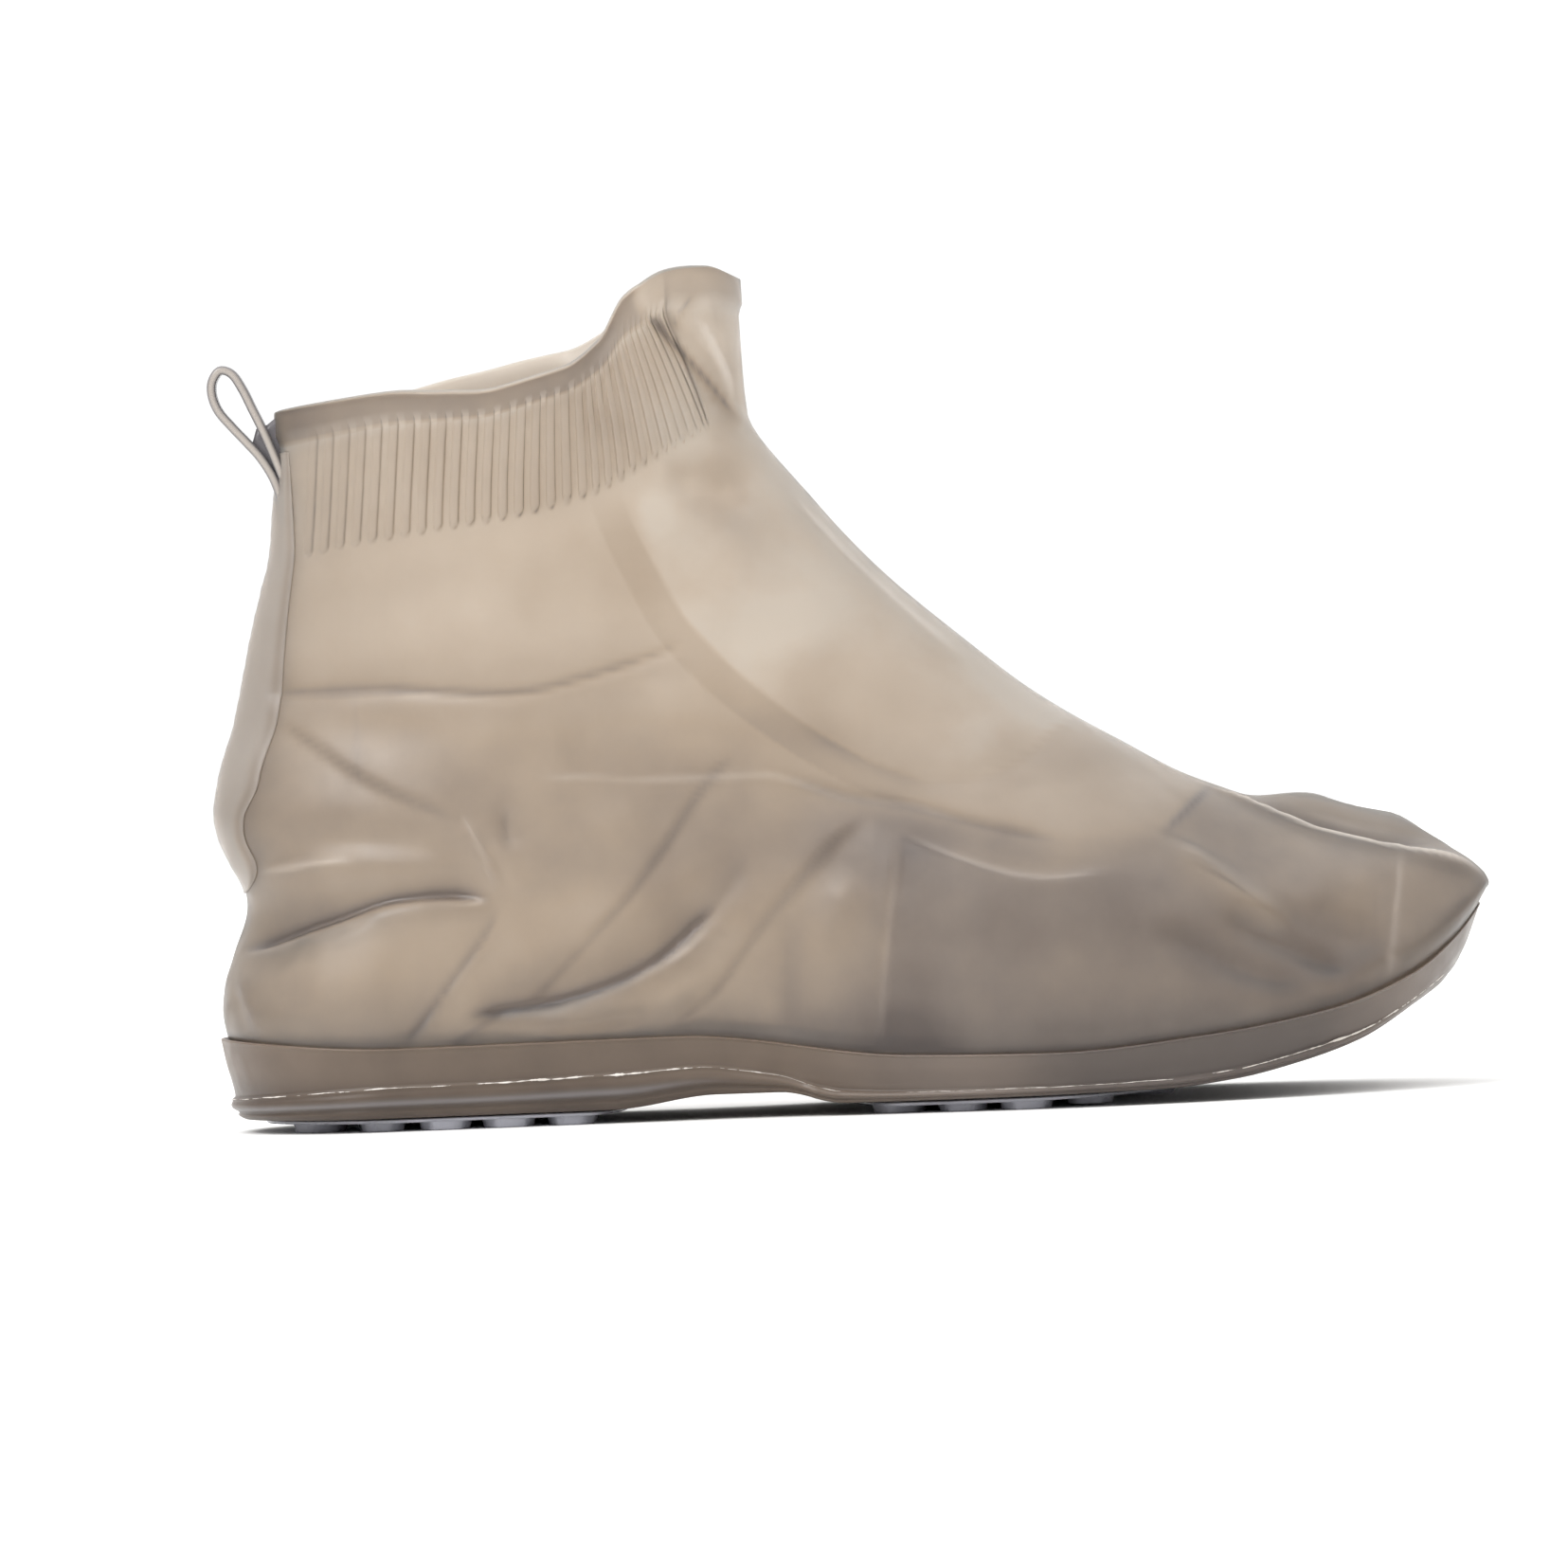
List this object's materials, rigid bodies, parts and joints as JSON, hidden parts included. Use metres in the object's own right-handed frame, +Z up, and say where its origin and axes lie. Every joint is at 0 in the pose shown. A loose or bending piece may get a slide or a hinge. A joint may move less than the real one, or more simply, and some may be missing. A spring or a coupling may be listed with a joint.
{
  "type": "silicone boot cover",
  "caption": "Slip-on overshoe of smoky translucent silicone with a ribbed ankle collar, a slack hollow upper, a lugged sole tray and a strap loop at the back.",
  "frame": {"origin": "on the floor, under the middle of the object's length and width", "axes": "+X towards the toe, +Y towards the inner side of the foot, +Z up"},
  "size_m": [0.2775, 0.106, 0.1859],
  "materials": {
    "upper_silicone": "translucent, satin",
    "sole_silicone": "translucent, satin",
    "tread_silicone": "translucent, matt",
    "strip_silicone": "translucent, satin",
    "loop_silicone": "translucent, satin"
  },
  "bodies": {
    "root": {"upper": "upper_silicone", "outsole": "sole_silicone", "heel_tread": "tread_silicone", "forefoot_tread": "tread_silicone", "heel_strip": "strip_silicone", "pull_loop": "loop_silicone"}
  },
  "joints": []
}
